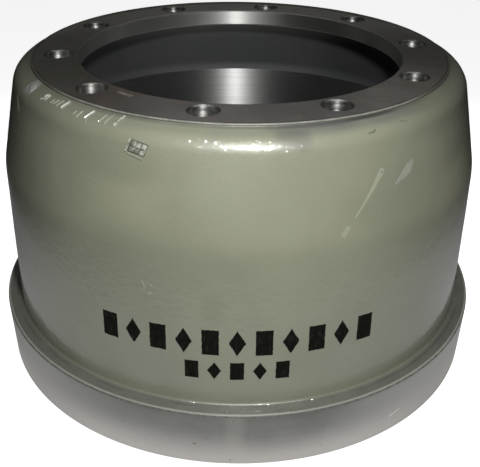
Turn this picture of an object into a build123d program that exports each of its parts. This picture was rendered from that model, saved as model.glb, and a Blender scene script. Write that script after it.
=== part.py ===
from build123d import *
import math
import os

# Brake drum for a heavy truck or trailer axle, outboard mounted, with a
# 16.5 x 8 inch braking track. One grey-iron casting, turned on the faces that
# work. Millimetres. The drum stands on its open end: Z = 0 is the open end,
# +Z runs along the axle line up to the mounting flange.

# --- driving dimensions -----------------------------------------------------
HEIGHT = 290.0            # open end to the mounting face
TRACK_DIA = 419.1         # braking diameter, 16.5 in
TRACK_TOP = 205.0         # height at which the braking track ends
LEAD_IN_H = 5.0           # height of the lead-in for the brake shoes
LEAD_IN_DEPTH = 2.9       # radial depth of that lead-in

RIM_FOOT_DIA = 480.0      # stiffening band round the open end, at its foot
RIM_LIP_DIA = 483.0       # and at its upper lip, with casting draft
RIM_TOP = 56.0            # height of that lip
RIM_FOOT_BREAK = 1.5      # chamfer round the foot of the band
RIM_LIP_R = 2.6           # rounding of the lip
LEDGE_INNER_R = 227.8     # where the ledge meets the body
LEDGE_INNER_Z = 56.4
LEDGE_ROOT_R = 3.0        # casting fillet in that corner

BODY_TOP_R = 225.0        # radius at the top of the drafted body
BODY_TOP_Z = 200.0
BODY_BLEND_R = 75.0       # blend from the body into the conical shoulder
SHOULDER_R = 206.8        # shoulder corner before rounding
SHOULDER_Z = 281.5
SHOULDER_ROUND = 18.0     # rounding of the shoulder

FACE_DIA = 383.0          # outside diameter of the turned mounting face
FACE_EDGE_R = 1.2         # rounded edge of that face
FACE_STEP = 2.0           # how far the turned face stands proud of the cast shoulder
FACE_STEP_OUT = 0.3       # how far the step runs out over that height
FACE_STEP_ROOT_R = 0.8    # rounding at the step's foot
FLANGE_T = 16.0           # flange thickness
PILOT_DIA = 299.0         # pilot bore
PILOT_CHAMFER = 1.2

RELIEF_R = 212.6          # cast relief over the braking track
RELIEF_Z = 210.5
RELIEF_ROOT_R = 14.0
BELL_R = 196.5            # inner corner under the flange, before rounding
BELL_ROOT_R = 14.0

BOLT_COUNT = 10
BOLT_CIRCLE = 335.0
BOLT_HOLE_DIA = 24.5
BOLT_HOLE_BREAK = 1.0     # chamfer on each end of a bolt hole
FIRST_BOLT_ANGLE = -90.0  # one hole lies on -Y

TRACK_R = TRACK_DIA / 2
RIM_FOOT_R = RIM_FOOT_DIA / 2
RIM_LIP_EDGE_R = RIM_LIP_DIA / 2
FACE_R = FACE_DIA / 2
PILOT_R = PILOT_DIA / 2
FLANGE_UNDER = HEIGHT - FLANGE_T

# --- the casting ------------------------------------------------------------
with BuildPart() as brake_drum:
    # Half section through the axis: local X is the radius, local Y is the height.
    with BuildSketch(Plane.XZ) as section:
        with BuildLine() as outline:
            Polyline(
                # foot and outside
                (TRACK_R + LEAD_IN_DEPTH, 0),
                (RIM_FOOT_R, 0),
                (RIM_LIP_EDGE_R, RIM_TOP),
                (LEDGE_INNER_R, LEDGE_INNER_Z),
                (BODY_TOP_R, BODY_TOP_Z),
                (SHOULDER_R, SHOULDER_Z),
                (FACE_R + FACE_STEP_OUT, HEIGHT - FACE_STEP),
                (FACE_R, HEIGHT),
                # mounting face and pilot bore
                (PILOT_R, HEIGHT),
                (PILOT_R, FLANGE_UNDER),
                # inside of the bell
                (BELL_R, FLANGE_UNDER),
                (RELIEF_R, RELIEF_Z),
                # braking track
                (TRACK_R, TRACK_TOP),
                (TRACK_R, LEAD_IN_H),
                close=True,
            )
        make_face()

        # as-cast blends
        for (x, z), radius in (
            ((LEDGE_INNER_R, LEDGE_INNER_Z), LEDGE_ROOT_R),
            ((BODY_TOP_R, BODY_TOP_Z), BODY_BLEND_R),
            ((SHOULDER_R, SHOULDER_Z), SHOULDER_ROUND),
            ((BELL_R, FLANGE_UNDER), BELL_ROOT_R),
            ((RELIEF_R, RELIEF_Z), RELIEF_ROOT_R),
            ((RIM_LIP_EDGE_R, RIM_TOP), RIM_LIP_R),
            ((FACE_R, HEIGHT), FACE_EDGE_R),
            ((FACE_R + FACE_STEP_OUT, HEIGHT - FACE_STEP), FACE_STEP_ROOT_R),
        ):
            corner = section.vertices().sort_by_distance((x, z, 0))[0]
            fillet(corner, radius)

        # turned breaks
        for (x, z), size in (
            ((RIM_FOOT_R, 0), RIM_FOOT_BREAK),
            ((PILOT_R, HEIGHT), PILOT_CHAMFER),
            ((PILOT_R, FLANGE_UNDER), PILOT_CHAMFER),
        ):
            corner = section.vertices().sort_by_distance((x, z, 0))[0]
            chamfer(corner, size)
    revolve(axis=Axis.Z)

    # wheel stud holes through the flange
    with BuildSketch(Plane.XY.offset(HEIGHT)):
        with PolarLocations(
            BOLT_CIRCLE / 2, BOLT_COUNT, start_angle=FIRST_BOLT_ANGLE
        ):
            Circle(BOLT_HOLE_DIA / 2)
    extrude(amount=-2 * FLANGE_T, mode=Mode.SUBTRACT)

    bolt_edges = (
        brake_drum.edges()
        .filter_by(GeomType.CIRCLE)
        .filter_by(lambda e: math.isclose(e.radius, BOLT_HOLE_DIA / 2, abs_tol=0.01))
    )
    chamfer(bolt_edges, BOLT_HOLE_BREAK)

brake_drum.part.label = "brake_drum"

os.makedirs("parts", exist_ok=True)
export_step(brake_drum.part, "parts/brake_drum.step")
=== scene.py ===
import math

import bmesh
import bpy
import numpy as np
from mathutils import Matrix, Vector, noise


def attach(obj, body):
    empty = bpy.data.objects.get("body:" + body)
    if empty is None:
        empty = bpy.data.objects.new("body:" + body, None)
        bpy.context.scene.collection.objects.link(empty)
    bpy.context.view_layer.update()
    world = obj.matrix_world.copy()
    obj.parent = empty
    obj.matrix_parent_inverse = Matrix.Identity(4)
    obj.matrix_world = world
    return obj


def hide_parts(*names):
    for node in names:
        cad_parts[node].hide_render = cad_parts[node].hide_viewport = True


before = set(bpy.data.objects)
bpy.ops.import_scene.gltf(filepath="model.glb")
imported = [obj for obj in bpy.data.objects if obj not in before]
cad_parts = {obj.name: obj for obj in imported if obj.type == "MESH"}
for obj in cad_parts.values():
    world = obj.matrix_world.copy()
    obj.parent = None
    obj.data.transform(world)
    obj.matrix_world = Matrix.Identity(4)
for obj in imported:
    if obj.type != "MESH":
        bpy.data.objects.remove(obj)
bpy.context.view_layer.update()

MM = 0.001
TAU = 2 * math.pi

# The photograph is taken from a little beside the stud hole on -Y. FRONT is
# the direction, seen from above, in which the camera stands.
HOLE_PHASE = 9.4692
FRONT = math.radians(-90 + HOLE_PHASE)

# ----------------------------------------------------------------------------
# sizes in millimetres, as in the CAD part
# ----------------------------------------------------------------------------
HEIGHT = 290.0
TRACK_R = 209.55
TRACK_TOP = 205.0
LEAD_IN_H = 5.0
LEAD_IN_DEPTH = 2.9
RIM_FOOT_R = 240.0
RIM_LIP_R = 241.5
RIM_TOP = 56.0
LEDGE_R, LEDGE_Z = 227.8, 56.4
BODY_R, BODY_Z = 225.0, 200.0
SHOULDER_R, SHOULDER_Z = 206.8, 281.5
FACE_R = 191.5
FACE_STEP, FACE_STEP_OUT = 2.0, 0.3
FLANGE_UNDER = 274.0
PILOT_R = 149.5
PILOT_CHAMFER = 1.2
RELIEF_R, RELIEF_Z = 212.6, 210.5
BELL_R = 196.5
BOLTS = 10
BOLT_CIRCLE_R = 167.5
BOLT_R = 12.25
BOLT_BREAK = 1.0

SEGMENTS = 480            # round the drum
PER_HOLE = SEGMENTS // BOLTS
SPOKE = 13                # rows between two neighbouring holes


def rounded(points, radii, steps):
    """Polyline with its corners rounded. Gives (r, z, corner index or -1) points."""
    out = [(*points[0], -1)]
    for i in range(1, len(points) - 1):
        a, b, c = (np.array(p, float) for p in points[i - 1:i + 2])
        u = (a - b) / np.linalg.norm(a - b)
        v = (c - b) / np.linalg.norm(c - b)
        if radii[i] <= 0:
            out.append((*b, i))
            continue
        half = math.acos(max(-1.0, min(1.0, float(u @ v)))) / 2
        t = radii[i] / math.tan(half)
        m = (u + v) / np.linalg.norm(u + v)
        centre = b + m * radii[i] / math.sin(half)
        p0, p1 = b + u * t, b + v * t
        a0 = math.atan2(*(p0 - centre)[::-1])
        a1 = math.atan2(*(p1 - centre)[::-1])
        d = (a1 - a0 + math.pi) % TAU - math.pi
        for k in range(steps[i] + 1):
            w = a0 + d * k / steps[i]
            out.append((*(centre + radii[i] * np.array([math.cos(w), math.sin(w)])), i))
    out.append((*points[-1], -1))
    return out


def subdivided(points, longest):
    out = [points[0]]
    for a, b in zip(points, points[1:]):
        step = longest(a, b)
        n = max(1, math.ceil(math.hypot(b[0] - a[0], b[1] - a[1]) / step - 1e-6))
        for k in range(1, n + 1):
            out.append((a[0] + (b[0] - a[0]) * k / n, a[1] + (b[1] - a[1]) * k / n))
    return out


# ----------------------------------------------------------------------------
# the casting as one closed mesh
# ----------------------------------------------------------------------------
PAINT, FACE, BORE, CAST, RIM, TRACK, EDGE, HOLE, MARK, CHAMFER = range(10)

outside = rounded(
    [
        (PILOT_R, HEIGHT),
        (FACE_R, HEIGHT),
        (FACE_R + FACE_STEP_OUT, HEIGHT - FACE_STEP),
        (SHOULDER_R, SHOULDER_Z),
        (BODY_R, BODY_Z),
        (LEDGE_R, LEDGE_Z),
        (RIM_LIP_R, RIM_TOP),
        (RIM_FOOT_R, 1.5),
    ],
    [0, 1.2, 0.8, 18.0, 75.0, 3.0, 2.6, 0],
    [0, 5, 3, 9, 8, 6, 6, 0],
)[1:]
foot = [
    (RIM_FOOT_R + 0.04, 1.5),
    (RIM_FOOT_R - 1.5, 0.0),
    (TRACK_R + LEAD_IN_DEPTH, 0.0),
    (TRACK_R, LEAD_IN_H),
    (TRACK_R, TRACK_TOP),
]
inside = rounded(
    [
        (TRACK_R, TRACK_TOP),
        (RELIEF_R, RELIEF_Z),
        (BELL_R, FLANGE_UNDER),
        (PILOT_R, FLANGE_UNDER),
    ],
    [0, 14.0, 14.0, 0],
    [0, 6, 8, 0],
)[:-1]

strip = [(r, z) for r, z, _ in outside[:-1]] + foot[:-1] + [(r, z) for r, z, _ in inside]


def longest(a, b):
    low, high = min(a[1], b[1]), max(a[1], b[1])
    if min(a[0], b[0]) >= 222 and high > 60:
        return 5.0          # painted body
    if min(a[0], b[0]) >= 205 and low > 205:
        return 4.0          # shoulder
    if min(a[0], b[0]) > 235:
        return 5.0          # rim
    return 12.0


strip = subdivided(strip, longest)
UNDER_R = strip[-1][0]
FACE_EDGE = strip[0][0]


def region(a, b):
    """Which finish the strip between two profile points has."""
    r, z = (a[0] + b[0]) / 2, (a[1] + b[1]) / 2
    if abs(a[1]) < 1e-6 and abs(b[1]) < 1e-6:
        return FACE
    if b[1] < a[1] - 1e-9 or (r > RIM_FOOT_R - 2 and z < 2):
        if r < FACE_R + FACE_STEP_OUT + 0.05 and z > HEIGHT - FACE_STEP:
            return EDGE
        return RIM if r > 238.8 or z < 2 else PAINT     # the outside runs downwards
    if z <= TRACK_TOP:
        return TRACK
    return CAST


def swell(x, y, z):
    """Unevenness of the sand-cast skin, in millimetres along the normal."""
    q = Vector((x, y, z))
    low = noise.noise(q * 0.018 + Vector((3.1, 7.7, 1.3)))
    mid = noise.noise(q * 0.065 + Vector((11.0, 2.0, 5.0)))
    return 0.30 * low + 0.10 * mid


verts, faces, mats, maps = [], [], [], []
index = {}
ATLAS = 1245.0            # the unrolled map's side, in millimetres of surface


def vert(x, y, z):
    key = (round(x, 4), round(y, 4), round(z, 4))
    if key not in index:
        index[key] = len(verts)
        verts.append((x, y, z))
    return index[key]


def face(ids, finish, at, corners):
    """One face. at is its chart's place in the map, and corners lie in the chart, both in mm."""
    faces.append(tuple(ids))
    mats.append(finish)
    maps.append([((at[0] + u) / ATLAS, (at[1] + v) / ATLAS) for u, v in corners])


def angle_of(j):
    """Angle of column j. Column 0 lies midway between two holes."""
    return math.radians(-90 - 180 / BOLTS) + TAU * (j % SEGMENTS) / SEGMENTS


FIRST = 83                # columns from the left side's seam to column 0


def column(j, parts, girth):
    """Which part of an unrolled wall column j falls in, and where it starts and ends there."""
    each = SEGMENTS // parts
    jj = (j + FIRST) % SEGMENTS
    step = girth / SEGMENTS
    return jj // each, jj % each * step, (jj % each + 1) * step


# profile normals, pointing out of the metal, to raise the cast skin along
normals = []
for i, (r, z) in enumerate(strip):
    a, b = strip[max(0, i - 1)], strip[min(len(strip) - 1, i + 1)]
    t = np.array([b[0] - a[0], b[1] - a[1]])
    t = t / (np.linalg.norm(t) or 1)
    normals.append((-t[1], t[0]))

region_of = [region(a, b) for a, b in zip(strip, strip[1:])]
run = [0.0]
for a, b in zip(strip, strip[1:]):
    run.append(run[-1] + math.hypot(b[0] - a[0], b[1] - a[1]))
foot_at = next(i for i, (a, b) in enumerate(zip(strip, strip[1:])) if abs(a[1]) < 1e-6 and abs(b[1]) < 1e-6)


def rough_skin(z):
    return 0.0 if z > 287.0 else 0.5 if z > 284 else 1.0


def skin(i):
    """How much of the cast unevenness a profile point gets: none on turned edges."""
    r, z = strip[i]
    near = [region_of[k] for k in (i - 1, i) if 0 <= k < len(region_of)]
    if all(n == CAST for n in near):
        return 1.6 if min(z - TRACK_TOP, FLANGE_UNDER - z + 1) > 2 else 0.0
    if all(n in (PAINT, RIM) for n in near):
        if z <= RIM_TOP - 1 or r > 238:
            return 0.15 if z > 4 else 0.0
        return rough_skin(z)
    return 0.0


rings = []
for i, (r, z) in enumerate(strip):
    amount = skin(i)
    ring = []
    for j in range(SEGMENTS):
        w = angle_of(j)
        d = amount * swell(r * math.cos(w), r * math.sin(w), z) if amount else 0.0
        rr, zz = r + normals[i][0] * d, z + normals[i][1] * d
        ring.append(vert(rr * math.cos(w), rr * math.sin(w), zz))
    rings.append(ring)
for i in range(len(strip) - 1):
    if i < foot_at:
        parts, girth, top, places = 2, 1476.0, run[0], [(3, 3), (3, 322)]
    elif i == foot_at:
        parts, girth, top, places = 3, 1417.0, run[foot_at], [(655, 775), (655, 805), (655, 835)]
    else:
        parts, girth, top, places = 2, 1288.0, run[foot_at + 1], [(3, 642), (3, 932)]
    for j in range(SEGMENTS):
        k = (j + 1) % SEGMENTS
        part, u0, u1 = column(j, parts, girth)
        v0, v1 = run[i] - top, run[i + 1] - top
        face((rings[i][j], rings[i + 1][j], rings[i + 1][k], rings[i][k]), region_of[i],
             places[part], ((u0, v0), (u0, v1), (u1, v1), (u1, v0)))

# pilot bore
bore = [
    (PILOT_R + PILOT_CHAMFER, HEIGHT),
    (PILOT_R, HEIGHT - PILOT_CHAMFER),
    (PILOT_R, FLANGE_UNDER + PILOT_CHAMFER),
    (PILOT_R + PILOT_CHAMFER, FLANGE_UNDER),
]
bore = subdivided(bore, lambda a, b: 7.0)
bore_rings = [
    [vert(r * math.cos(angle_of(j)), r * math.sin(angle_of(j)), z) for j in range(SEGMENTS)]
    for r, z in bore
]
down = 0.0
for (ra, za), (rb, zb), a, b in zip(bore, bore[1:], bore_rings, bore_rings[1:]):
    step = math.hypot(rb - ra, zb - za)
    for j in range(SEGMENTS):
        k = (j + 1) % SEGMENTS
        part, u0, u1 = column(j, 2, 939.0)
        face((a[k], b[k], b[j], a[j]), FACE if ra != rb else BORE, [(655, 866), (655, 887)][part],
             ((u1, down), (u1, down + step), (u0, down + step), (u0, down)))
    down += step

# flange faces, with the holes let in as rings of quads
CHAMFER_R = BOLT_R + BOLT_BREAK


def sector(r_in, r_out, h):
    """Outline of the flange sector round hole h, the hole's centre and its points' angles."""
    mid = math.radians(-90) + TAU * h / BOLTS
    j0 = h * PER_HOLE
    centre = np.array([BOLT_CIRCLE_R * math.cos(mid), BOLT_CIRCLE_R * math.sin(mid)])
    edge = []

    def put(r, w):
        edge.append((r * math.cos(w), r * math.sin(w)))

    for j in range(PER_HOLE + 1):
        put(r_out, angle_of(j0 + j))
    for k in range(1, SPOKE):
        put(r_out + (r_in - r_out) * k / SPOKE, angle_of(j0 + PER_HOLE))
    for j in range(PER_HOLE, -1, -1):
        put(r_in, angle_of(j0 + j))
    for k in range(1, SPOKE):
        put(r_in + (r_out - r_in) * k / SPOKE, angle_of(j0))
    edge = np.array(edge)
    n = len(edge)
    ang = np.unwrap(np.arctan2(edge[:, 1] - centre[1], edge[:, 0] - centre[0]))
    # spread the ring's points evenly, so that the hole's wall is round
    even = ang[0] + np.arange(n) * TAU / n
    return edge, centre, 0.35 * ang + 0.65 * (even + (ang - even).mean())


def flange_plane(z, r_in, r_out, up, place):
    for h in range(BOLTS):
        edge, centre, ang = sector(r_in, r_out, h)
        n = len(edge)
        hole = centre + CHAMFER_R * np.stack([np.cos(ang), np.sin(ang)], -1)
        prev = before = None
        for s in (0.0, 0.12, 0.3, 0.6, 1.0):
            ring = hole * (1 - s) + edge * s
            ids = [vert(float(x), float(y), z) for x, y in ring]
            if prev is not None:
                for k in range(n):
                    m = (k + 1) % n
                    q = [(prev[k], before[k]), (ids[k], ring[k]), (ids[m], ring[m]), (prev[m], before[m])]
                    q = q if up else q[::-1]
                    face([i for i, _ in q], FACE, place, [(c[0] + r_out, c[1] + r_out) for _, c in q])
            prev, before = ids, ring


flange_plane(HEIGHT, PILOT_R + PILOT_CHAMFER, FACE_EDGE, True, (752, 3))
flange_plane(FLANGE_UNDER, PILOT_R + PILOT_CHAMFER, UNDER_R, False, (752, 395))

# The two planes' sector outlines differ, so each hole's wall is joined row by
# row between the two rings of the same count.
for h in range(BOLTS):
    _, centre, top_ang = sector(PILOT_R + PILOT_CHAMFER, FACE_EDGE, h)
    _, _, low_ang = sector(PILOT_R + PILOT_CHAMFER, UNDER_R, h)
    n = len(top_ang)
    rows = [
        (CHAMFER_R, HEIGHT, 0.0),
        (BOLT_R, HEIGHT - BOLT_BREAK, 0.0),
        (BOLT_R, (HEIGHT + FLANGE_UNDER) / 2, 0.5),
        (BOLT_R, FLANGE_UNDER + BOLT_BREAK, 1.0),
        (CHAMFER_R, FLANGE_UNDER, 1.0),
    ]
    place = (655 + h % 5 * 82, 908 + h // 5 * 22)
    prev, down = None, 0.0
    for r, z, t in rows:
        ang = top_ang * (1 - t) + low_ang * t
        ids = [
            vert(float(centre[0] + r * math.cos(w)), float(centre[1] + r * math.sin(w)), z)
            for w in ang
        ]
        if prev is not None:
            step = math.hypot(r - last[0], z - last[1])
            for k in range(n):
                m = (k + 1) % n
                u0, u1 = k * 78.0 / n, (k + 1) * 78.0 / n
                face((prev[k], prev[m], ids[m], ids[k]), CHAMFER if r != last[0] else HOLE, place,
                     ((u0, down), (u1, down), (u1, down + step), (u0, down + step)))
            down += step
        prev, last = ids, (r, z)

# raised foundry marks on the shoulder: bars, a ring, a dot and a small grid,
# each a closed body rooted in the casting
MARK_R = 203.0            # radius that marks' sideways millimetres are measured at
down_r = np.array([p[0] for p in strip[:foot_at]])
down_z = np.array([p[1] for p in strip[:foot_at]])
down_s = np.array(run[:foot_at])
cells = [0]


def s_at(z):
    return float(np.interp(-z, -down_z, down_s))


def on_shoulder(u, s, h):
    """Point at u mm to the right of the front and s mm down the profile, raised by h."""
    r, z = float(np.interp(s, down_s, down_r)), float(np.interp(s, down_s, down_z))
    ra, za = float(np.interp(s - 0.5, down_s, down_r)), float(np.interp(s - 0.5, down_s, down_z))
    rb, zb = float(np.interp(s + 0.5, down_s, down_r)), float(np.interp(s + 0.5, down_s, down_z))
    t = math.hypot(rb - ra, zb - za)
    nr, nz = (za - zb) / t, (rb - ra) / t
    w = FRONT + u / MARK_R
    h += rough_skin(z) * swell(r * math.cos(w), r * math.sin(w), z)
    return ((r + h * nr) * math.cos(w), (r + h * nr) * math.sin(w), z + h * nz)


def free_face(ids, finish):
    """A small face with a cell of its own in the map."""
    c = cells[0]
    cells[0] += 1
    at = (658 + c % 80 * 7.0, 958 + c // 80 * 7.0)
    box = ((0, 0), (5, 0), (5, 5), (0, 5))
    if len(ids) != 4:
        box = [(2.5 + 2.5 * math.cos(TAU * k / len(ids)), 2.5 + 2.5 * math.sin(TAU * k / len(ids))) for k in range(len(ids))]
    face(ids, finish, at, box)


def body(rows, closed, finish):
    """Joins rows of points into a closed body."""
    base = len(verts)
    for row in rows:
        verts.extend(on_shoulder(*q) for q in row)
    n, m = len(rows[0]), len(rows)
    for i in range(m if closed else m - 1):
        for k in range(n):
            a, b = base + i * n, base + (i + 1) % m * n
            free_face((a + k, a + (k + 1) % n, b + (k + 1) % n, b + k), finish)
    if not closed:
        free_face(tuple(base + k for k in range(n)), finish)
        free_face(tuple(base + (m - 1) * n + k for k in range(n))[::-1], finish)


def section(u, s, du, ds, w, h):
    """The bar's section at a point, across the direction du, ds."""
    t = math.hypot(du, ds)
    pu, ps = -ds / t, du / t
    return [(u + pu * a * w, s + ps * a * w, b) for a, b in
            ((-0.62, -0.8), (-0.5, 0.2 * h), (-0.36, 0.75 * h), (-0.16, h), (0.16, h), (0.36, 0.75 * h), (0.5, 0.2 * h), (0.62, -0.8))]


def bar(a, b, w, h, finish=PAINT):
    """A raised bar from a to b, each (degrees from the front, height), w wide and h high."""
    ua, sa, ub, sb = math.radians(a[0]) * MARK_R, s_at(a[1]), math.radians(b[0]) * MARK_R, s_at(b[1])
    du, ds = ub - ua, sb - sa
    long = math.hypot(du, ds)
    rows = []
    for t, k, q in ((-0.30 * w, 0.55, 0.1), (-0.12 * w, 0.82, 0.75), (0.12 * w, 1.0, 1.0), (long / 2, 1.0, 1.0),
                    (long - 0.12 * w, 1.0, 1.0), (long + 0.12 * w, 0.82, 0.75), (long + 0.30 * w, 0.55, 0.1)):
        rows.append(section(ua + du * t / long, sa + ds * t / long, du, ds, w * k, h * q))
    body(rows, False, finish)


def ring_mark(at, ru, rs, w, h):
    u, s = math.radians(at[0]) * MARK_R, s_at(at[1])
    rows = []
    for k in range(16):
        c, d = math.cos(TAU * k / 16), math.sin(TAU * k / 16)
        rows.append(section(u + ru * c, s + rs * d, -ru * d, rs * c, w, h))
    body(rows, True, MARK)


def pad(corner, right, low, u0, u1, v0, v1, h, finish):
    """A flat-topped cell of a grid given by three corners, each (degrees, height)."""
    o, a, b = (np.array((math.radians(q[0]) * MARK_R, s_at(q[1]))) for q in (corner, right, low))
    rows = []
    for grow, rise in ((0.10, -0.8), (0.10, 0.15 * h), (0.0, 0.85 * h), (-0.16, h)):
        row = []
        for fu, fv, su, sv in ((u0, v0, -1, -1), (u1, v0, 1, -1), (u1, v1, 1, 1), (u0, v1, -1, 1)):
            q = o + (a - o) * (fu + su * grow * (u1 - u0)) + (b - o) * (fv + sv * grow * (v1 - v0))
            row.append((float(q[0]), float(q[1]), rise))
        rows.append(row)
    body(rows, False, finish)


# a smeared lump, a ring and slanted bars round the shoulder
bar((-60.3, 285.3), (-58.2, 284.1), 7.0, 0.8)
ring_mark((-50.7, 284.9), 2.0, 2.9, 1.2, 1.1)
bar((-51.3, 283.8), (-52.1, 282.4), 1.2, 0.9, MARK)
bar((-47.6, 285.4), (-47.9, 283.4), 1.3, 0.8)
bar((-46.3, 286.0), (-46.8, 283.4), 1.4, 0.9)
bar((-44.9, 286.4), (-45.4, 283.2), 1.4, 0.9)
bar((-42.8, 287.1), (-43.4, 283.3), 1.5, 1.3, MARK)
bar((-38.6, 284.6), (-39.0, 282.4), 1.3, 0.8)
bar((-37.1, 285.2), (-37.6, 281.8), 1.4, 0.9)
bar((-34.3, 286.6), (-35.2, 282.6), 1.5, 1.2, MARK)
bar((-35.0, 282.2), (-34.4, 279.6), 1.3, 0.7)
bar((-30.6, 286.6), (-31.3, 282.8), 1.5, 0.9)
bar((-29.0, 287.4), (-29.8, 282.4), 1.6, 1.1)
bar((-26.3, 287.5), (-27.3, 282.5), 1.6, 1.3, MARK)
# a small foundry grid of two rows of three cells, framed on two sides
GRID = ((-22.0, 276.6), (-18.6, 274.4), (-22.8, 268.8))
for row, col in ((a, b) for a in range(2) for b in range(3)):
    pad(*GRID, 0.05 + 0.33 * col, 0.31 + 0.33 * col, 0.05 + 0.50 * row, 0.44 + 0.50 * row,
        1.7 if (row + col) % 2 else 1.3, MARK)
bar((-22.7, 277.0), (-23.5, 268.3), 1.2, 1.3, MARK)
bar((-23.1, 267.0), (-19.6, 263.8), 1.1, 0.9)

mesh = bpy.data.meshes.new("brake_drum_casting")
mesh.from_pydata([(x * MM, y * MM, z * MM) for x, y, z in verts], [], faces)
unrolled = mesh.uv_layers.new(name="OFBake")
unrolled.data.foreach_set("uv", [c for corners in maps for uv in corners for c in uv])
mesh.polygons.foreach_set("use_smooth", [True] * len(mesh.polygons))
mesh.polygons.foreach_set("material_index", mats)
casting = bpy.data.objects.new("brake_drum_casting", mesh)
bpy.context.scene.collection.objects.link(casting)

bm = bmesh.new()
bm.from_mesh(mesh)
open_edges = [e for e in bm.edges if len(e.link_faces) != 2]
print("casting: verts", len(bm.verts), "faces", len(bm.faces), "open edges", len(open_edges),
      "triangles", sum(len(f.verts) - 2 for f in bm.faces), "map cells", cells[0])
bmesh.ops.recalc_face_normals(bm, faces=bm.faces)
for e in bm.edges:
    if len(e.link_faces) == 2:
        e.smooth = e.calc_face_angle(0.0) < math.radians(22)
bm.to_mesh(mesh)
bm.free()

# ----------------------------------------------------------------------------
# node helpers
# ----------------------------------------------------------------------------
class Nodes:
    def __init__(self, name):
        self.material = bpy.data.materials.new(name)
        self.material.use_nodes = True
        self.tree = self.material.node_tree
        self.tree.nodes.clear()
        self.x = 0

    def add(self, kind, **settings):
        n = self.tree.nodes.new(kind)
        self.x += 1
        n.location = (self.x % 40 * 180, -(self.x // 40) * 300)
        for k, v in settings.items():
            setattr(n, k, v)
        return n

    def put(self, socket, value):
        if isinstance(value, bpy.types.NodeSocket):
            self.tree.links.new(value, socket)
        else:
            socket.default_value = value

    def math(self, op, a, b=None, c=None, clamp=False):
        n = self.add("ShaderNodeMath", operation=op, use_clamp=clamp)
        self.put(n.inputs[0], a)
        if b is not None:
            self.put(n.inputs[1], b)
        if c is not None:
            self.put(n.inputs[2], c)
        return n.outputs[0]

    def smooth(self, value, lo, hi, a=0.0, b=1.0):
        n = self.add("ShaderNodeMapRange", interpolation_type="SMOOTHSTEP")
        self.put(n.inputs["Value"], value)
        self.put(n.inputs["From Min"], lo)
        self.put(n.inputs["From Max"], hi)
        self.put(n.inputs["To Min"], a)
        self.put(n.inputs["To Max"], b)
        return n.outputs["Result"]

    def linear(self, value, lo, hi, a=0.0, b=1.0):
        n = self.add("ShaderNodeMapRange")
        n.clamp = True
        self.put(n.inputs["Value"], value)
        self.put(n.inputs["From Min"], lo)
        self.put(n.inputs["From Max"], hi)
        self.put(n.inputs["To Min"], a)
        self.put(n.inputs["To Max"], b)
        return n.outputs["Result"]

    def noise(self, vector, scale, detail=2.0, rough=0.5, distort=0.0, colour=False):
        n = self.add("ShaderNodeTexNoise", noise_dimensions="3D")
        self.put(n.inputs["Vector"], vector)
        self.put(n.inputs["Scale"], scale)
        self.put(n.inputs["Detail"], detail)
        self.put(n.inputs["Roughness"], rough)
        self.put(n.inputs["Distortion"], distort)
        return n.outputs["Color" if colour else "Fac"]

    def mix(self, fac, a, b, blend="MIX"):
        n = self.add("ShaderNodeMix", data_type="RGBA", blend_type=blend, clamp_factor=True)
        self.put(n.inputs[0], fac)
        self.put(n.inputs[6], a if isinstance(a, bpy.types.NodeSocket) else (*a, 1.0))
        self.put(n.inputs[7], b if isinstance(b, bpy.types.NodeSocket) else (*b, 1.0))
        return n.outputs[2]

    def blend(self, fac, a, b):
        n = self.add("ShaderNodeMix", data_type="FLOAT", clamp_factor=True)
        self.put(n.inputs[0], fac)
        self.put(n.inputs[2], a)
        self.put(n.inputs[3], b)
        return n.outputs[0]

    def vec(self, x, y, z):
        n = self.add("ShaderNodeCombineXYZ")
        for s, v in zip(n.inputs, (x, y, z)):
            self.put(s, v)
        return n.outputs[0]

    def bump(self, height, strength, distance, normal=None):
        n = self.add("ShaderNodeBump")
        n.inputs["Strength"].default_value = strength
        n.inputs["Distance"].default_value = distance
        self.put(n.inputs["Height"], height)
        if normal is not None:
            self.put(n.inputs["Normal"], normal)
        return n.outputs["Normal"]

    def drum(self):
        """Position on the drum: point, angle from the front in radians, radius and height in mm."""
        at = self.add("ShaderNodeTexCoord").outputs["Object"]
        mm = self.add("ShaderNodeVectorMath", operation="SCALE")
        self.put(mm.inputs[0], at)
        mm.inputs["Scale"].default_value = 1000.0
        p = mm.outputs[0]
        front = self.add("ShaderNodeVectorMath", operation="DOT_PRODUCT")
        self.put(front.inputs[0], p)
        front.inputs[1].default_value = (math.cos(FRONT), math.sin(FRONT), 0)
        side = self.add("ShaderNodeVectorMath", operation="DOT_PRODUCT")
        self.put(side.inputs[0], p)
        side.inputs[1].default_value = (-math.sin(FRONT), math.cos(FRONT), 0)
        f, s = front.outputs["Value"], side.outputs["Value"]
        th = self.math("ARCTAN2", s, f)
        r = self.math("SQRT", self.math("ADD", self.math("MULTIPLY", f, f), self.math("MULTIPLY", s, s)))
        sep = self.add("ShaderNodeSeparateXYZ")
        self.put(sep.inputs[0], p)
        return p, th, r, sep.outputs[2]

    def principled(self, colour, rough, metallic=0.0, normal=None, **plain):
        n = self.add("ShaderNodeBsdfPrincipled")
        self.put(n.inputs["Base Color"], colour if isinstance(colour, bpy.types.NodeSocket) else (*colour, 1.0))
        self.put(n.inputs["Roughness"], rough)
        self.put(n.inputs["Metallic"], metallic)
        if normal is not None:
            self.put(n.inputs["Normal"], normal)
        for k, v in plain.items():
            self.put(n.inputs[k.replace("_", " ")], v)
        return n

    def done(self, shader):
        out = self.add("ShaderNodeOutputMaterial")
        self.tree.links.new(shader, out.inputs["Surface"])
        return self.material


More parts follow.
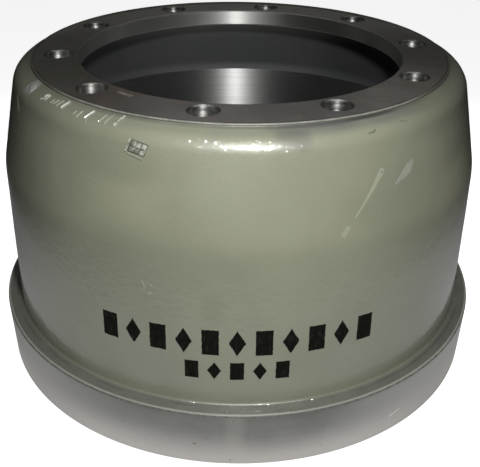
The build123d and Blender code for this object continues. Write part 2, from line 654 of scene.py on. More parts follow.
def capsule(n, u, v, a, b, ra, rb, soft):
    """1 inside a line from a to b, whose half-width goes from ra to rb, fading over soft. All in mm."""
    dx, dy = b[0] - a[0], b[1] - a[1]
    long2 = dx * dx + dy * dy or 1e-6
    pu, pv = n.math("SUBTRACT", u, a[0]), n.math("SUBTRACT", v, a[1])
    t = n.math("DIVIDE", n.math("ADD", n.math("MULTIPLY", pu, dx), n.math("MULTIPLY", pv, dy)), long2, clamp=True)
    ex = n.math("SUBTRACT", pu, n.math("MULTIPLY", t, dx))
    ey = n.math("SUBTRACT", pv, n.math("MULTIPLY", t, dy))
    d = n.math("SQRT", n.math("ADD", n.math("MULTIPLY", ex, ex), n.math("MULTIPLY", ey, ey)))
    d = n.math("SUBTRACT", d, n.math("MULTIPLY_ADD", t, rb - ra, ra))
    return n.smooth(d, 0.0, soft, 1.0, 0.0)


def on_wall(theta, z):
    """Where a spot of the outside lies in the coordinates that wear is drawn in."""
    return (math.radians(theta) * 220.0, z)


def most(n, masks):
    out = masks[0]
    for m in masks[1:]:
        out = n.math("MAXIMUM", out, m)
    return out


# ----------------------------------------------------------------------------
# materials
# ----------------------------------------------------------------------------
def painted():
    n = Nodes("olive_grey_paint")
    p, th, r, z = n.drum()
    u = n.math("MULTIPLY", th, 220.0)
    base = (0.250, 0.258, 0.188)
    tone = n.noise(p, 0.012, 3.0, 0.5)
    colour = n.mix(n.smooth(tone, 0.35, 0.65), tuple(c * 0.95 for c in base), tuple(c * 1.05 for c in base))
    blotch = n.noise(p, 0.05, 4.0, 0.6)

    # thin greyed paint beside the turned face, heavier in places, and a painted shadow line at the foot of the
    # turned step, darker right of the front
    right = n.math("MULTIPLY", n.smooth(th, 0.05, 0.30), n.smooth(th, 0.95, 0.75))
    grey = n.math("MULTIPLY", n.smooth(z, 281.0, 286.2), n.smooth(blotch, 0.25, 0.6, 0.6, 1.0))
    grey = n.math("MULTIPLY", grey, n.linear(right, 0.0, 1.0, 0.22, 0.85))
    colour = n.mix(grey, colour, (0.155, 0.160, 0.140))
    step_shadow = n.math("MULTIPLY", n.smooth(z, 286.3, 287.6), n.smooth(n.noise(p, 0.018, 2.0), 0.42, 0.58, 0.6, 1.0))
    step_shadow = n.math("MULTIPLY", step_shadow, n.linear(right, 0.0, 1.0, 0.45, 1.0))
    colour = n.mix(step_shadow, colour, (0.050, 0.051, 0.045))
    # a purplish grey smudge beside the bright spot on the shoulder
    smudge = n.math("MULTIPLY", n.smooth(z, 285.0, 287.2), n.math("MULTIPLY", n.smooth(th, 0.06, 0.16), n.smooth(th, 0.45, 0.38)))
    drip = capsule(n, u, z, on_wall(9.2, 287.2), on_wall(13.0, 281.0), 3.0, 1.6, 9.5)
    smudge = n.math("MAXIMUM", n.math("MULTIPLY", smudge, 0.62), n.math("MULTIPLY", drip, 0.42))
    smudge = n.math("MULTIPLY", smudge, n.smooth(n.noise(p, 0.09, 3.0), 0.25, 0.5, 0.75, 1.0))
    colour = n.mix(smudge, colour, (0.092, 0.088, 0.086))
    # painted shade in the foundry grid's grooves, between its raised cells
    (ou, oz), (au, az), (bu, bz) = (on_wall(*q) for q in GRID)
    au, az, bu, bz = au - ou, az - oz, bu - ou, bz - oz
    pu, pz = n.math("SUBTRACT", u, ou), n.math("SUBTRACT", z, oz)
    det = au * bz - az * bu
    fu = n.math("ADD", n.math("MULTIPLY", pu, bz / det), n.math("MULTIPLY", pz, -bu / det))
    fv = n.math("ADD", n.math("MULTIPLY", pz, au / det), n.math("MULTIPLY", pu, -az / det))
    off = n.math("MAXIMUM", n.math("ABSOLUTE", n.math("SUBTRACT", fu, 0.46)), n.math("ABSOLUTE", n.math("SUBTRACT", fv, 0.50)))
    grid_shade = n.smooth(n.math("ADD", off, n.math("MULTIPLY", n.noise(p, 0.4, 2.0), 0.10)), 0.60, 0.66, 1.0, 0.0)
    colour = n.mix(n.math("MULTIPLY", grid_shade, 0.80), colour, (0.050, 0.052, 0.040))
    # painted shade: the shoulder is coloured darker on both sides, and a pale smoky smear lies at its left
    side_shade = n.math("MULTIPLY", n.smooth(z, 255.0, 276.0), n.smooth(n.math("ABSOLUTE", th), 0.50, 0.95))
    colour = n.mix(n.math("MULTIPLY", side_shade, 0.75), colour, (0.178, 0.184, 0.132))
    # the body is coloured paler high on both sides: partly paler paint, partly painted light
    pale_paint_and_light = n.math("MULTIPLY", n.smooth(th, 0.60, 1.05), n.smooth(th, 1.55, 1.20))
    pale_paint_and_light = n.math("MULTIPLY", pale_paint_and_light, n.math("MULTIPLY", n.smooth(z, 166.0, 190.0), n.smooth(z, 242.0, 222.0)))
    pale_paint_and_light_left = n.math("MULTIPLY", n.smooth(th, -0.20, -0.36), n.smooth(th, -0.68, -0.50))
    pale_paint_and_light_left = n.math("MULTIPLY", pale_paint_and_light_left, n.math("MULTIPLY", n.smooth(z, 202.0, 226.0), n.smooth(z, 252.0, 238.0)))
    pale_paint_and_light = n.math("MAXIMUM", pale_paint_and_light, n.math("MULTIPLY", pale_paint_and_light_left, 0.45))
    colour = n.mix(pale_paint_and_light, colour, (0.326, 0.334, 0.238))
    smoke = capsule(n, u, z, on_wall(-60.6, 284.2), on_wall(-58.2, 284.6), 2.4, 1.8, 3.5)
    smoke = n.math("MULTIPLY", smoke, n.smooth(n.noise(p, 0.12, 3.0), 0.3, 0.6, 0.4, 1.0))
    colour = n.mix(n.math("MULTIPLY", smoke, 0.75), colour, (0.42, 0.43, 0.42))
    # the ledge and the corner over it are coloured darker and greyer, with a broken dark line along the ledge
    ledge = n.math("MULTIPLY", n.smooth(r, 227.6, 230.0), n.smooth(z, 62.0, 59.0))
    colour = n.mix(n.math("MULTIPLY", ledge, n.smooth(blotch, 0.2, 0.7, 0.75, 1.0)), colour, (0.128, 0.133, 0.114))
    line = n.math("ADD", r, n.math("MULTIPLY", blotch, 2.4))
    line = n.math("MULTIPLY", n.smooth(line, 232.6, 233.2), n.smooth(line, 234.2, 233.5))
    line = n.math("MULTIPLY", n.math("MULTIPLY", line, ledge), n.smooth(n.noise(p, 0.03, 3.0), 0.45, 0.55))
    colour = n.mix(n.math("MULTIPLY", line, 0.7), colour, (0.05, 0.05, 0.042))

    # rubbed streaks, light marks
    streak = most(n, [
        capsule(n, u, z, on_wall(30.2, 250.8), on_wall(27.4, 237.4), 2.0, 1.0, 0.8),
        capsule(n, u, z, on_wall(27.4, 237.4), on_wall(23.6, 220.4), 1.0, 0.2, 0.7),
        n.math("MULTIPLY", capsule(n, u, z, on_wall(21.9, 213.2), on_wall(20.9, 208.8), 1.1, 1.4, 1.5), 0.7),
    ])
    leaf = most(n, [
        capsule(n, u, z, on_wall(38.8, 251.4), on_wall(37.4, 246.8), 1.2, 3.6, 0.8),
        capsule(n, u, z, on_wall(37.4, 246.8), on_wall(36.2, 243.6), 3.6, 2.8, 0.8),
        capsule(n, u, z, on_wall(36.2, 243.6), on_wall(33.6, 238.0), 2.4, 0.1, 0.9),
    ])
    grain = n.noise(n.vec(n.math("MULTIPLY", u, 0.9), n.math("MULTIPLY", z, 0.35), r), 1.0, 3.0)
    grain = n.smooth(grain, 0.3, 0.62, 0.6, 0.9)
    colour = n.mix(n.math("MULTIPLY", streak, grain), colour, (0.352, 0.364, 0.272))
    colour = n.mix(n.math("MULTIPLY", leaf, grain), colour, (0.345, 0.346, 0.295))
    rub = n.math("MAXIMUM", streak, leaf)
    nick = most(n, [
        capsule(n, u, z, on_wall(-19.3, 168.4), on_wall(-18.95, 165.6), 0.15, 0.3, 0.5),
        capsule(n, u, z, on_wall(-18.95, 165.6), on_wall(-18.8, 161.4), 0.3, 0.1, 0.5),
        capsule(n, u, z, on_wall(-17.35, 165.7), on_wall(-17.3, 165.6), 0.5, 0.5, 0.5),
        capsule(n, u, z, on_wall(-17.9, 157.6), on_wall(-17.5, 158.4), 0.3, 0.3, 0.7),
    ])
    colour = n.mix(n.math("MULTIPLY", nick, 0.75), colour, (0.42, 0.42, 0.36))
    smear = capsule(n, u, z, on_wall(-64.3, 272.0), on_wall(-62.3, 264.6), 1.6, 1.0, 2.6)
    smear = n.math("MULTIPLY", smear, n.smooth(z, 275.0, 266.0, 0.45, 0.95))
    colour = n.mix(smear, colour, (0.60, 0.56, 0.48))
    # dark marks
    dark = most(n, [
        capsule(n, u, z, on_wall(29.6, 281.3), on_wall(29.0, 280.2), 0.25, 0.35, 0.5),
        capsule(n, u, z, on_wall(29.0, 280.2), on_wall(27.6, 279.8), 0.30, 0.1, 0.5),
        n.math("MULTIPLY", capsule(n, u, z, on_wall(36.8, 282.4), on_wall(38.7, 281.3), 0.1, 0.1, 0.9), 0.5),
        capsule(n, u, z, on_wall(30.3, 250.3), on_wall(30.2, 249.8), 0.25, 0.25, 0.6),
    ])
    colour = n.mix(n.math("MULTIPLY", dark, 0.65), colour, (0.045, 0.048, 0.035))
    # a faint darker, yellower smudge above the stencil
    faint_smudge = capsule(n, u, z, on_wall(-4.9, 156.0), on_wall(-4.9, 143.0), 1.0, 3.0, 12.0)
    colour = n.mix(n.math("MULTIPLY", faint_smudge, 0.18), colour, (0.150, 0.152, 0.095))
    colour, ink = stencil(n, p, u, z, colour)

    # brushed skin of the paint: fine under the colour, stronger in the clear film over it
    peel = n.noise(p, 0.32, 2.0, 0.55)
    fine = n.noise(p, 1.1, 2.0, 0.6)
    nrm = n.bump(n.math("ADD", peel, n.math("MULTIPLY", fine, 0.25)), 0.35, 0.0006)
    sandy = n.math("MAXIMUM", n.smooth(z, 240.0, 266.0, 0.45, 1.0), n.smooth(z, 72.0, 60.0, 0.45, 1.8))
    sandy = n.math("MULTIPLY", sandy, n.smooth(n.math("ABSOLUTE", th), 0.40, 0.80, 1.0, 0.35))
    ripple = n.math("SUBTRACT", n.noise(p, 0.22, 1.0, 0.50), 0.5)
    film = n.bump(n.math("MULTIPLY", ripple, sandy), 1.0, 0.0016)
    # the stencilled ink is matt and lies over the clear film; its metal weight is there only to take away its gloss
    rough = n.math("MAXIMUM", n.blend(rub, 0.40, 0.60), n.blend(ink, 0.40, 0.95))
    paint = n.principled(colour, rough, n.math("MULTIPLY", ink, 0.92), nrm, Coat_Weight=n.blend(ink, 0.9, 0.0),
                         Coat_Roughness=0.05, Specular_IOR_Level=0.75)
    n.put(paint.inputs["Coat Normal"], film)
    return n.done(paint.outputs[0])


def stencil(n, p, u, z, colour):
    """Two rows of plain black stencilled shapes, blocks and diamonds by turns."""
    wear = n.noise(p, 0.35, 3.0, 0.6)
    rag = n.math("MULTIPLY", n.math("SUBTRACT", wear, 0.5), 1.2)
    rows = []
    for zc, half, count, pitch, wide in ((118.5, 12.0, 11, 21.0, 13.5), (91.0, 8.5, 5, 18.0, 11.0)):
        cell = n.math("ADD", n.math("DIVIDE", u, pitch), count / 2)
        odd = n.math("MODULO", n.math("FLOOR", n.math("ADD", cell, 40.0)), 2.0)
        across = n.math("MULTIPLY", n.math("SUBTRACT", n.math("FRACT", n.math("ADD", cell, 40.0)), 0.5), pitch)
        rise = n.math("SUBTRACT", z, zc)
        au, az = n.math("ABSOLUTE", across), n.math("ABSOLUTE", rise)
        block = n.math("MAXIMUM", n.math("SUBTRACT", au, wide / 2), n.math("SUBTRACT", az, half))
        lean = n.math("ADD", n.math("MULTIPLY", au, half / wide * 2), az)
        diamond = n.math("MULTIPLY", n.math("SUBTRACT", lean, half), 0.46)
        shape = n.blend(odd, block, diamond)
        ends = n.math("SUBTRACT", n.math("ABSOLUTE", u), count / 2 * pitch)
        rows.append(n.smooth(n.math("ADD", n.math("MAXIMUM", shape, ends), rag), -0.25, 0.25, 1.0, 0.0))
    ink = most(n, rows)
    thin = n.smooth(n.noise(n.vec(n.math("MULTIPLY", u, 0.5), n.math("MULTIPLY", z, 0.12), 3.0), 1.0, 4.0, 0.65), 0.50, 0.68)
    black = n.mix(thin, (0.0075, 0.0085, 0.0065), (0.035, 0.036, 0.028))
    return n.mix(n.math("MULTIPLY", ink, 0.97), colour, black), ink


def turned_rim():
    n = Nodes("turned_rim")
    p, th, r, z = n.drum()
    across = n.vec(n.math("MULTIPLY", n.math("COSINE", th), 3.0), n.math("MULTIPLY", n.math("SINE", th), 3.0),
                   n.math("MULTIPLY", z, 0.9))
    rings = n.noise(across, 1.0, 4.0, 0.6)
    cloud = n.noise(p, 0.015, 4.0, 0.55)
    # painted reflection and shade: the rim is coloured lighter at its foot, where it mirrors the bright floor, and
    # darker at its top towards the front, paler to the sides and to the right
    low = n.mix(rings, (0.60, 0.58, 0.550), (0.71, 0.685, 0.650))
    high = n.mix(rings, (0.205, 0.205, 0.190), (0.265, 0.265, 0.250))
    aside = n.smooth(n.math("ABSOLUTE", th), 0.12, 0.85)
    high = n.mix(aside, high, n.mix(n.smooth(th, -0.5, 0.5), (0.48, 0.475, 0.455), (0.57, 0.565, 0.545)))
    colour = n.mix(n.smooth(z, 0.0, 42.0), low, high)
    colour = n.mix(n.smooth(cloud, 0.35, 0.7, 0.0, 0.22), colour, (0.62, 0.61, 0.58))
    # a faint painted highlight: a brighter stripe straight in front, where the turning marks catch the light
    stripe = n.smooth(n.math("ABSOLUTE", n.math("ADD", th, 0.006)), 0.012, 0.050, 1.0, 0.0)
    colour = n.mix(n.math("MULTIPLY", stripe, 0.22), colour, (0.62, 0.61, 0.57))
    spots = n.smooth(n.noise(p, 0.25, 3.0, 0.6), 0.66, 0.74)
    colour = n.mix(n.math("MULTIPLY", spots, 0.5), colour, (0.16, 0.14, 0.12))
    # scratches, one long one low on the right
    u = n.math("MULTIPLY", th, 241.0)
    scratch = capsule(n, u, z, (math.radians(34.5) * 241, 18.0), (math.radians(37.3) * 241, 21.4), 0.5, 0.35, 0.9)
    colour = n.mix(n.math("MULTIPLY", scratch, 0.75), colour, (0.90, 0.89, 0.85))
    speck = capsule(n, u, z, (math.radians(-8.5) * 241, 22.2), (math.radians(-8.3) * 241, 22.0), 0.5, 0.5, 0.9)
    colour = n.mix(n.math("MULTIPLY", speck, 0.6), colour, (0.10, 0.11, 0.06))
    # the paint's lower edge, a little wavy
    edge = n.math("ADD", 56.05, n.math("MULTIPLY", n.math("SUBTRACT", n.noise(p, 0.10, 3.0), 0.5), 1.6))
    paint = n.smooth(n.math("SUBTRACT", z, edge), -0.2, 0.2)
    colour = n.mix(paint, colour, (0.230, 0.235, 0.190))
    worn = n.smooth(n.noise(p, 0.35, 3.0, 0.6), 0.45, 0.60)
    lip = n.math("MULTIPLY", n.smooth(z, 53.4, 54.2), n.smooth(z, 56.3, 55.8))
    top = n.mix(n.smooth(z, 55.2, 55.6), (0.110, 0.110, 0.098), (0.33, 0.335, 0.285))
    colour = n.mix(n.math("MULTIPLY", lip, n.linear(worn, 0.0, 1.0, 0.75, 0.98)), colour, top)
    metal = n.math("SUBTRACT", 1.0, n.math("MULTIPLY", n.math("MAXIMUM", paint, lip), 0.95))
    shader = n.principled(colour, n.blend(most(n, [paint, lip]), 0.48, 0.55), metal, n.bump(rings, 0.12, 0.0003), Anisotropic=0.3)
    n.put(shader.inputs["Tangent"], n.vec(0.0, 0.0, 1.0))
    return n.done(shader.outputs[0])


def turned_face():
    n = Nodes("turned_flange_face")
    p, th, r, z = n.drum()
    u = n.math("MULTIPLY", th, 170.0)
    rings = n.noise(n.vec(0.0, 0.0, n.math("MULTIPLY", r, 1.4)), 1.0, 3.0, 0.6)
    cloud = n.noise(p, 0.016, 4.0, 0.6)
    colour = n.mix(n.smooth(cloud, 0.35, 0.65), (0.200, 0.194, 0.180), (0.265, 0.260, 0.245))
    colour = n.mix(n.math("MULTIPLY", rings, 0.30), colour, (0.14, 0.14, 0.13))
    # painted sheen: the face is coloured lighter towards the back
    back = n.smooth(n.math("ABSOLUTE", th), 1.6, 2.4)
    colour = n.mix(n.math("MULTIPLY", back, 0.8), colour, (0.40, 0.39, 0.36))
    # oily brown film to the left, and a rusty band beside the bore
    oil = n.math("MULTIPLY", n.smooth(th, -0.35, -0.70), n.smooth(th, -1.9, -1.2))
    oil = n.math("MULTIPLY", oil, n.smooth(n.noise(p, 0.025, 3.0), 0.35, 0.6, 0.5, 1.0))
    tint = n.mix(n.smooth(th, -1.0, -0.72), (0.165, 0.165, 0.130), (0.200, 0.168, 0.145))
    colour = n.mix(n.math("MULTIPLY", oil, 0.75), colour, tint)
    band = n.math("MULTIPLY", n.smooth(r, 163.0, 154.0), n.math("MULTIPLY", n.smooth(th, -0.20, -0.38), n.smooth(th, -0.80, -0.62)))
    band = n.math("MULTIPLY", band, n.smooth(n.noise(p, 0.06, 3.0), 0.3, 0.6, 0.5, 1.0))
    colour = n.mix(n.math("MULTIPLY", band, 0.7), colour, (0.275, 0.222, 0.188))
    stain = capsule(n, u, r, (math.radians(-37.2) * 170, 158.6), (math.radians(-32.6) * 170, 159.8), 0.4, 0.9, 2.4)
    stain = n.math("MULTIPLY", stain, n.smooth(n.noise(p, 0.22, 3.0), 0.3, 0.55, 0.45, 1.0))
    colour = n.mix(n.math("MULTIPLY", stain, 0.85), colour, (0.66, 0.55, 0.47))
    # a paler rubbed patch to the right
    pale = n.math("MULTIPLY", n.smooth(th, 0.50, 0.66), n.smooth(th, 1.45, 0.95))
    pale = n.math("MULTIPLY", pale, n.smooth(n.noise(p, 0.035, 3.0, 0.6), 0.30, 0.60, 0.35, 1.0))
    colour = n.mix(n.math("MULTIPLY", pale, 0.65), colour, (0.40, 0.375, 0.335))
    brown = n.smooth(n.noise(p, 0.045, 4.0, 0.65), 0.52, 0.68)
    colour = n.mix(n.math("MULTIPLY", brown, 0.50), colour, (0.300, 0.232, 0.195))
    # dark lines along both edges, the outer one painted shade where the face meets the step, and overspray on the
    # outermost ring at the back
    rim = n.smooth(r, 188.1, 188.9)
    rim = n.math("MULTIPLY", rim, n.smooth(n.noise(p, 0.03, 3.0), 0.35, 0.6, 0.45, 1.0))
    rim = n.math("MAXIMUM", rim, n.math("MULTIPLY", n.smooth(r, 152.4, 151.2), 0.55))
    colour = n.mix(n.math("MULTIPLY", rim, 0.85), colour, (0.045, 0.043, 0.034))
    spray = n.math("MULTIPLY", n.smooth(r, 180.5, 182.5), back)
    colour = n.mix(n.math("MULTIPLY", spray, 0.9), colour, (0.085, 0.086, 0.062))
    metal = n.linear(n.math("MAXIMUM", spray, n.math("MULTIPLY", rim, 0.6)), 0.0, 1.0, 0.84, 0.15)
    shader = n.principled(colour, 0.6, metal, n.bump(rings, 0.25, 0.0003), Anisotropic=0.25)
    n.put(shader.inputs["Tangent"], p)
    return n.done(shader.outputs[0])


def turned_bore():
    n = Nodes("turned_bore")
    p, th, r, z = n.drum()
    rings = n.noise(n.vec(0.0, 0.0, n.math("MULTIPLY", z, 4.0)), 1.0, 1.0)
    colour = n.mix(rings, (0.47, 0.47, 0.452), (0.58, 0.58, 0.556))
    # brighter towards the back on the left, oily and dark towards the back on the right
    left = n.math("MULTIPLY", n.smooth(th, -1.2, -2.0), n.smooth(th, -3.1, -2.8))
    colour = n.mix(n.math("MULTIPLY", left, 0.4), colour, (0.80, 0.79, 0.76))
    oily = n.math("MULTIPLY", n.smooth(th, 1.8, 2.1), n.smooth(th, 2.95, 2.75))
    colour = n.mix(n.math("MULTIPLY", oily, 0.45), colour, (0.16, 0.155, 0.14))
    shader = n.principled(colour, n.linear(rings, 0.42, 0.58, 0.40, 0.90), 0.95, n.bump(rings, 0.04, 0.0002), Anisotropic=1.0)
    n.put(shader.inputs["Tangent"], n.vec(0.0, 0.0, 1.0))
    return n.done(shader.outputs[0])


def turned_track():
    n = Nodes("turned_braking_track")
    p, th, r, z = n.drum()
    rings = n.noise(n.vec(0.0, 0.0, n.math("MULTIPLY", z, 6.0)), 1.0, 1.0)
    colour = n.mix(rings, (0.41, 0.41, 0.403), (0.49, 0.49, 0.482))
    shader = n.principled(colour, n.linear(rings, 0.42, 0.58, 0.24, 0.56), 0.965, n.bump(rings, 0.02, 0.0002), Anisotropic=0.985)
    n.put(shader.inputs["Tangent"], n.vec(0.0, 0.0, 1.0))
    return n.done(shader.outputs[0])


def bare_edge():
    """The turned step round the flange: bare, dull and scuffed."""
    n = Nodes("turned_step")
    p, th, r, z = n.drum()
    wear = n.noise(p, 0.08, 4.0, 0.6)
    colour = n.mix(n.smooth(wear, 0.35, 0.65), (0.19, 0.19, 0.165), (0.27, 0.265, 0.235))
    colour = n.mix(n.smooth(z, 289.2, 288.9), colour, (0.075, 0.077, 0.060))
    # painted shade and dirt: the step is coloured dark on both sides away from the front, and in scattered spots
    step_shade_and_dirt = n.math("MAXIMUM", n.math("MAXIMUM", n.smooth(th, 0.70, 0.95), n.smooth(th, -0.72, -0.98)), n.smooth(n.noise(p, 0.25, 3.0), 0.62, 0.72, 0.0, 0.6))
    colour = n.mix(n.math("MULTIPLY", step_shade_and_dirt, 0.85), colour, (0.070, 0.068, 0.055))
    shader = n.principled(colour, 0.60, 0.12, n.bump(n.noise(p, 0.8, 2.0), 0.2, 0.0003))
    return n.done(shader.outputs[0])


def from_hole(n, th, r):
    """How far a point lies to the side of the nearest stud hole's axis, in mm."""
    step, first = TAU / 10, math.radians(-HOLE_PHASE)
    turns = n.math("ROUND", n.math("DIVIDE", n.math("SUBTRACT", th, first), step))
    centre = n.math("ADD", n.math("MULTIPLY", turns, step), first)
    side = n.math("SUBTRACT", n.math("MULTIPLY", r, n.math("SINE", th)), n.math("MULTIPLY", n.math("SINE", centre), BOLT_CIRCLE_R))
    return n.math("ABSOLUTE", side)


def chamfer():
    n = Nodes("hole_chamfers")
    p, th, r, z = n.drum()
    wear = n.noise(p, 0.30, 3.0, 0.6)
    colour = n.mix(n.smooth(wear, 0.35, 0.65), (0.45, 0.44, 0.41), (0.80, 0.79, 0.75))
    # painted shade: each chamfer is coloured darker to the left and right of its hole, as seen from the front
    colour = n.mix(n.smooth(from_hole(n, th, r), 6.0, 11.0, 0.0, 0.85), colour, (0.150, 0.146, 0.134))
    shader = n.principled(colour, 0.38, 0.95, n.bump(n.noise(p, 0.8, 2.0), 0.15, 0.0003))
    return n.done(shader.outputs[0])


def drilled_hole():
    n = Nodes("drilled_stud_holes")
    p, th, r, z = n.drum()
    drag = n.noise(n.vec(n.math("MULTIPLY", r, 0.06), n.math("MULTIPLY", th, 9.0), n.math("MULTIPLY", z, 0.32)), 1.0, 3.0, 0.6)
    colour = n.mix(n.smooth(drag, 0.35, 0.65), (0.21, 0.21, 0.198), (0.52, 0.515, 0.49))
    # painted shade: each hole's wall is coloured darker to its left and right, as seen from the front
    colour = n.mix(n.smooth(from_hole(n, th, r), 5.5, 9.5, 0.0, 0.60), colour, (0.125, 0.123, 0.112))
    shader = n.principled(colour, 0.45, 0.93, n.bump(drag, 0.5, 0.0012), Anisotropic=0.75)
    n.put(shader.inputs["Tangent"], n.vec(0.0, 0.0, 1.0))
    return n.done(shader.outputs[0])


def raised_mark():
    n = Nodes("paint_on_foundry_marks")
    p, th, r, z = n.drum()
    wear = n.noise(p, 0.28, 3.0, 0.65)
    colour = n.mix(n.smooth(wear, 0.38, 0.60), (0.175, 0.180, 0.140), (0.430, 0.435, 0.375))
    # the smeared lump at the row's end is rubbed pale
    lump = n.smooth(n.math("ABSOLUTE", n.math("ADD", th, math.radians(59.2))), math.radians(3.2), math.radians(1.8), 0.0, 0.7)
    colour = n.mix(lump, colour, (0.52, 0.53, 0.51))
    shader = n.principled(colour, 0.38, 0.0, n.bump(wear, 0.4, 0.0004), Coat_Weight=0.5, Coat_Roughness=0.12,
                          Specular_IOR_Level=0.65)
    return n.done(shader.outputs[0])


def cast_inside():
    n = Nodes("dark_cast_inside")
    p, th, r, z = n.drum()
    grain = n.noise(p, 0.5, 3.0)
    cloud = n.noise(p, 0.02, 3.0)
    colour = n.mix(grain, (0.052, 0.054, 0.052), (0.082, 0.084, 0.081))
    colour = n.mix(n.smooth(cloud, 0.4, 0.65, 0.0, 0.35), colour, (0.055, 0.068, 0.064))
    # painted light: the cast surface is coloured lighter high up under the flange, standing in for light that
    # reaches it there
    colour = n.mix(n.smooth(z, 245.0, 262.0, 0.0, 0.75), colour, (0.15, 0.155, 0.145))
    shader = n.principled(colour, 0.65, 0.6, n.bump(grain, 0.4, 0.0006))
    return n.done(shader.outputs[0])


for m in (painted(), turned_face(), turned_bore(), cast_inside(), turned_rim(), turned_track(), bare_edge(),
          drilled_hole(), raised_mark(), chamfer()):
    mesh.materials.append(m)

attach(casting, "root")
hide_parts("brake_drum")

# ----------------------------------------------------------------------------
# floor, light, camera
# ----------------------------------------------------------------------------
def paper(name, glow):
    nf = Nodes(name)
    sh = nf.principled((0.80, 0.80, 0.79), 0.9, 0.0, None, Specular_IOR_Level=0.1,
                       Emission_Strength=glow)
    sh.inputs["Emission Color"].default_value = (1, 1, 1, 1)
    return nf.done(sh.outputs[0])


def ring_sheet(name, r0, r1, material, n=96):
    me = bpy.data.meshes.new(name)
    v, f = [], []
    for k in range(n):
        w = TAU * k / n
        if r0 > 0:
            v.append((r0 * math.cos(w), r0 * math.sin(w), 0))
        v.append((r1 * math.cos(w), r1 * math.sin(w), 0))
    if r0 > 0:
        for k in range(n):
            m = (k + 1) % n
            f.append((2 * k, 2 * k + 1, 2 * m + 1, 2 * m))
    else:
        f.append(tuple(range(n)))
    me.from_pydata(v, [], f)
    me.materials.append(material)
    ob = bpy.data.objects.new(name, me)
    bpy.context.scene.collection.objects.link(ob)
    return ob


def bounce_card():
    """A pale sheet round the drum's foot that only reflections and bounced light see."""
    nf = Nodes("bounce_card")
    p, th, r, z = nf.drum()
    outside = nf.smooth(r, 236.0, 244.0)
    glow = nf.math("MULTIPLY", nf.smooth(r, 400.0, 540.0, 0.42, 0.0), outside)
    near = nf.math("MULTIPLY", nf.smooth(r, 250.0, 330.0, 0.5, 0.0), nf.smooth(nf.math("ABSOLUTE", th), 0.4, 1.0, 1.0, 0.0))
    glow = nf.math("MULTIPLY", glow, nf.math("ADD", near, 1.0))
    # the drum keeps the light off the floor behind it
    glow = nf.math("MULTIPLY", glow, nf.math("MAXIMUM", nf.math("MINIMUM", nf.smooth(th, 1.35, 2.2, 1.0, 0.2), nf.smooth(th, -1.1, -2.1, 1.0, 0.2)),
                   nf.smooth(nf.math("ABSOLUTE", th), 2.5, 2.95, 0.0, 0.9)))
    sh = nf.principled(nf.mix(outside, (0.10, 0.10, 0.10), (0.08, 0.08, 0.08)), 0.9, 0.0, None,
                       Specular_IOR_Level=0.1, Emission_Strength=glow)
    sh.inputs["Emission Color"].default_value = (1, 1, 1, 1)
    return nf.done(sh.outputs[0])


def dome(name, radius, material, rows=10, n=48):
    """A pale backdrop over the floor, so that low views don't look out into the dark."""
    v, f = [], []
    for i in range(rows):
        e = math.pi / 2 * i / rows
        v += [(radius * math.cos(e) * math.cos(TAU * k / n), radius * math.cos(e) * math.sin(TAU * k / n),
               radius * math.sin(e) - 0.01) for k in range(n)]
    v.append((0, 0, radius))
    for i in range(rows - 1):
        for k in range(n):
            m = (k + 1) % n
            f.append((i * n + k, (i + 1) * n + k, (i + 1) * n + m, i * n + m))
    f += [((rows - 1) * n + k, len(v) - 1, (rows - 1) * n + (k + 1) % n) for k in range(n)]
    me = bpy.data.meshes.new(name)
    me.from_pydata(v, [], f)
    me.materials.append(material)
    ob = bpy.data.objects.new(name, me)
    bpy.context.scene.collection.objects.link(ob)
    return ob


pale = paper("floor_paper", 0.88)
seen = ring_sheet("floor", 0.0, 9.0, pale)
seen.location.z = -0.0008
backdrop = dome("backdrop", 8.9, pale)
for ob in (seen, backdrop):
    ob.visible_diffuse = False
    ob.visible_glossy = False
backdrop.visible_shadow = False
card = ring_sheet("floor_bounce", 0.0, 3.0, bounce_card())
card.location.z = -0.0004
card.visible_camera = False
card.visible_shadow = False


def turn(v):
    """From the photograph's axes (x right, y away) to the part's."""
    a = math.radians(HOLE_PHASE)
    c, s = math.cos(a), math.sin(a)
    return Vector((v[0] * c - v[1] * s, v[0] * s + v[1] * c, v[2]))


def area(name, at, target, size, power, colour=(1, 1, 1)):
    light = bpy.data.lights.new(name, "AREA")
    light.shape = "RECTANGLE"
    light.size, light.size_y = size
    light.energy = power
    light.color = colour
    ob = bpy.data.objects.new(name, light)
    bpy.context.scene.collection.objects.link(ob)
    ob.location = turn(at)
    ob.rotation_euler = (turn(target) - ob.location).to_track_quat("-Z", "Y").to_euler()
    return ob


area("key", (0.038, -0.60, 0.60), (0, 0, 0.18), (0.05, 0.06), 4.3)
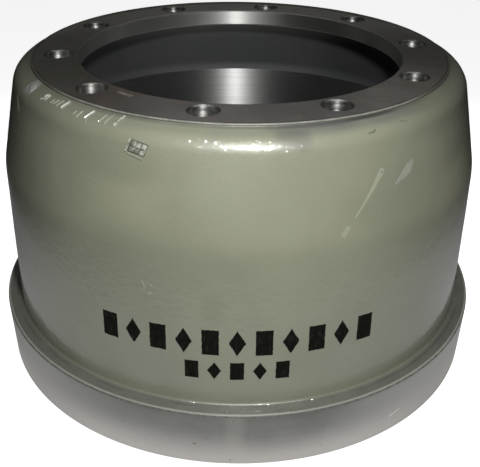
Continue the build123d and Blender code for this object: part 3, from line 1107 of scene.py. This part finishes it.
# low panels behind the drum light only the half that the photograph doesn't show
for name, where, wide, power in (("fill_left", (-0.375, 0.495, 0.16), 0.30, 1.2),
                                 ("fill_right", (0.375, 0.495, 0.16), 0.30, 1.2),
                                 ("fill_back", (0.0, 0.72, 0.13), 0.50, 1.4)):
    fill = area(name, where, (0, 0, 0.13), (wide, 0.20), power)
    fill.visible_camera = False
    fill.visible_glossy = False
# weak lights inside the drum stand in for what bounces up under the flange
for name, where, target, power in (("under_flange", (0.02, -0.02, 0.15), (-0.02, 0.20, 0.264), 0.050),
                                   ("under_flange_left", (0.07, 0.03, 0.16), (-0.165, 0.125, 0.250), 0.022)):
    glow = area(name, where, target, (0.06, 0.06), power)
    glow.data.spread = math.radians(70)
    glow.visible_camera = False
    glow.visible_glossy = False

world = bpy.data.worlds.new("studio")
world.use_nodes = True
world.node_tree.nodes["Background"].inputs[0].default_value = (0.02, 0.02, 0.02, 1)
world.node_tree.nodes["Background"].inputs[1].default_value = 1.0
bpy.context.scene.world = world
bpy.context.scene.view_settings.view_transform = "Standard"
bpy.context.scene.view_settings.look = "None"

# camera, fitted to the stud holes, bore, flange edge, track edge and rim
F_PX, CX, CY = 765.51, 244.04, 233.01
CAM_D, CAM_Z = 710.36, 493.65
PITCH, ROLL, PAN = (math.radians(v) for v in (29.54, 0.896, 0.463))
fwd = Vector((math.sin(PAN) * math.cos(PITCH), math.cos(PAN) * math.cos(PITCH), -math.sin(PITCH)))
right = Vector((math.cos(PAN), -math.sin(PAN), 0))
up = right.cross(fwd)
R = math.cos(ROLL) * right + math.sin(ROLL) * up
U = -math.sin(ROLL) * right + math.cos(ROLL) * up
cam_data = bpy.data.cameras.new("camera")
cam = bpy.data.objects.new("camera", cam_data)
bpy.context.scene.collection.objects.link(cam)
R, U, B = turn(R), turn(U), turn(-fwd)
at = turn((0, -CAM_D * MM, CAM_Z * MM))
cam.matrix_world = Matrix(((R.x, U.x, B.x, at.x), (R.y, U.y, B.y, at.y), (R.z, U.z, B.z, at.z), (0, 0, 0, 1)))
cam_data.sensor_fit = "HORIZONTAL"
cam_data.sensor_width = 36.0
cam_data.lens = F_PX / 480 * 36.0
cam_data.shift_x = (240 - CX) / 480
cam_data.shift_y = (CY - 233.5) / 480
cam_data.clip_start = 0.01
cam_data.dof.use_dof = False
bpy.context.scene.camera = cam
